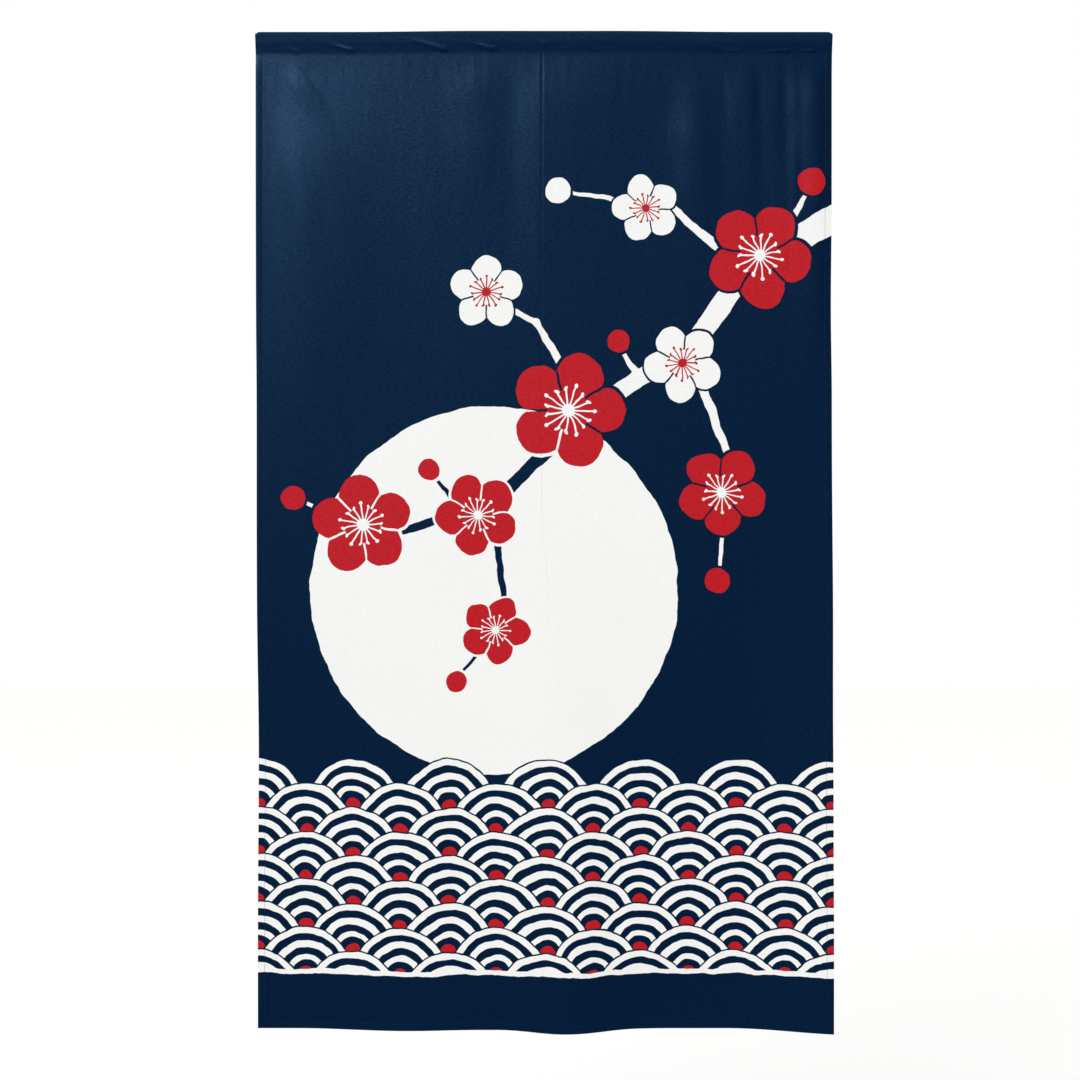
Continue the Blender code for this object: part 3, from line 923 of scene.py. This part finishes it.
thread = bpy.data.materials.new("spun_polyester_thread")
thread.use_nodes = True
thread_tree = thread.node_tree
thread_shader = thread_tree.nodes["Principled BSDF"]
thread_place = put(thread_tree, "ShaderNodeTexCoord").node.outputs["Object"]
twist = put(
    thread_tree, "ShaderNodeTexWave", thread_place, TWIST_SCALE, TWIST_WAVER, bands_direction="DIAGONAL"
)
thread_colour = put(thread_tree, MIX, twist, colour(THREAD_SHADOW), colour(THREAD_DYE), data_type="RGBA")
thread_tree.links.new(thread_colour, thread_shader.inputs["Base Color"])
thread_bump = put(thread_tree, "ShaderNodeBump", TWIST_STRENGTH, TWIST_RELIEF, None, twist)
thread_tree.links.new(thread_bump, thread_shader.inputs["Normal"])
thread_shader.inputs["Roughness"].default_value = THREAD_ROUGHNESS
thread_shader.inputs["Specular IOR Level"].default_value = THREAD_SPECULAR
thread_shader.inputs["Specular Tint"].default_value = colour(CLOTH_SHEEN)


def sew(name, rows):
    """One piece of the stitches along rows, each a function that gives the cloth's point at a distance."""
    shape = bmesh.new()
    for length, point_at in rows:
        count = int(length / STITCH_PITCH)
        for i in range(count):
            start = point_at(i * STITCH_PITCH)
            end = point_at(i * STITCH_PITCH + STITCH_LENGTH)
            one = strand_mesh.copy()
            turned = (end - start).to_track_quat("Z", "Y").to_matrix().to_4x4()
            turned.translation = (start + end) / 2
            one.transform(turned)
            shape.from_mesh(one)
            bpy.data.meshes.remove(one)
    mesh = bpy.data.meshes.new(name)
    shape.to_mesh(mesh)
    shape.free()
    mesh.materials.append(thread)
    mesh.shade_smooth()
    made = bpy.data.objects.new(name, mesh)
    bpy.context.scene.collection.objects.link(made)
    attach(made, "root")
    return made


def seam_line(y):
    """The seam, on the face of the sleeve or on the turned-over flap behind it."""
    return lambda along: sleeve_point(OUTLINE[0].left + SEAM_INSET + along, y, POCKET_TALL)


def side_line(side, behind):
    """A side hem's stitches, on the face or as far behind it as the hem is thick."""

    def point_at(along):
        down = POCKET_TALL + SIDES_START + along
        inward = HEM_STITCH if side == "left" else -HEM_STITCH
        return face_point(between(OUTLINE, down, side) + inward, down) + Vector((0, behind, 0))

    return point_at


def foot_line(behind):
    """The foot hem's stitches, on the face or as far behind it as the hem is thick."""
    start = OUTLINE[-1].left + HEM_STITCH
    return lambda along: face_point(start + along, DROP - HEM_STITCH) + Vector((0, behind, 0))


seam_length = OUTLINE[0].right - OUTLINE[0].left - 2 * SEAM_INSET
side_length = DROP - HEM_STITCH - POCKET_TALL - SIDES_START
foot_length = OUTLINE[-1].right - OUTLINE[-1].left - 2 * HEM_STITCH
hem_lines = []
for side in ("left", "right"):
    for behind in (0, HEM_THICKNESS):
        hem_lines.append((side_length, side_line(side, behind)))
for behind in (0, HEM_THICKNESS):
    hem_lines.append((foot_length, foot_line(behind)))
seam = sew("sleeve_stitches", [(seam_length, seam_line(y)) for y in (-SEAM_HALF, SEAM_HALF)])
hems = sew("hem_stitches", hem_lines)
bpy.data.meshes.remove(strand_mesh)


# The floor: a plain one in matt white paint, which throws light back evenly and shows no reflection. It lies
# as far below the cloth as it would in a doorway.
FLOOR_HEIGHT = -2.0
FLOOR_HALF = 12
FLOOR_WHITE = "#fefefd"
FLOOR_ROUGHNESS = 0.9

floor_shape = bmesh.new()
bmesh.ops.create_grid(floor_shape, x_segments=8, y_segments=8, size=FLOOR_HALF)
bmesh.ops.translate(floor_shape, verts=floor_shape.verts, vec=(0, 0, FLOOR_HEIGHT))
floor_mesh = bpy.data.meshes.new("floor")
floor_shape.to_mesh(floor_mesh)
floor_shape.free()
floor_paint = bpy.data.materials.new("white_floor")
floor_paint.use_nodes = True
floor_shader = floor_paint.node_tree.nodes["Principled BSDF"]
floor_shader.inputs["Base Color"].default_value = colour(FLOOR_WHITE)
floor_shader.inputs["Roughness"].default_value = FLOOR_ROUGHNESS
floor_shader.inputs["Specular IOR Level"].default_value = 0.0
floor_mesh.materials.append(floor_paint)
floor = bpy.data.objects.new("floor", floor_mesh)
floor.visible_glossy = False
bpy.context.scene.collection.objects.link(floor)


# The light: an even white studio all round, with a soft box high on the left. A second one beside it shows
# only as gloss, which brings out the sheen of the folds that lean towards it. Each has its name, place, size
# and power.
SOFTBOXES = (("softbox", (-2.6, -4.4, 3.0), 2.0, 55), ("sheen_box", (-1.6, -2.1, 1.95), 0.8, 350))
LIGHT_AIM = Vector((0, 0, -0.3))

world = bpy.data.worlds.new("white_studio")
world.use_nodes = True
world.node_tree.nodes["Background"].inputs["Color"].default_value = (1, 1, 1, 1)
world.node_tree.nodes["Background"].inputs["Strength"].default_value = 1.0
bpy.context.scene.world = world
world.cycles_visibility.glossy = False

for name, location, size, energy in SOFTBOXES:
    box_data = bpy.data.lights.new(name, "AREA")
    box_data.shape = "SQUARE"
    box_data.size = size
    box_data.energy = energy
    box = bpy.data.objects.new(name, box_data)
    box.location = location
    box.rotation_euler = (LIGHT_AIM - box.location).to_track_quat("-Z", "Y").to_euler()
    box.visible_diffuse = name == "softbox"
    box.visible_glossy = name == "sheen_box"
    bpy.context.scene.collection.objects.link(box)


# The camera: square on, with the cloth a little above the middle of the frame, and as large in it as in the
# photograph.
CAMERA_PLACE = (-0.0063, -2.5, -0.7520)
SENSOR_WIDTH = 36
LENS = 56.4

camera_data = bpy.data.cameras.new("camera")
camera_data.sensor_width = SENSOR_WIDTH
camera_data.lens = LENS
camera = bpy.data.objects.new("camera", camera_data)
camera.location = CAMERA_PLACE
camera.rotation_euler = (radians(90), 0, 0)
bpy.context.scene.collection.objects.link(camera)
bpy.context.scene.camera = camera
bpy.context.scene.view_settings.view_transform = "Standard"
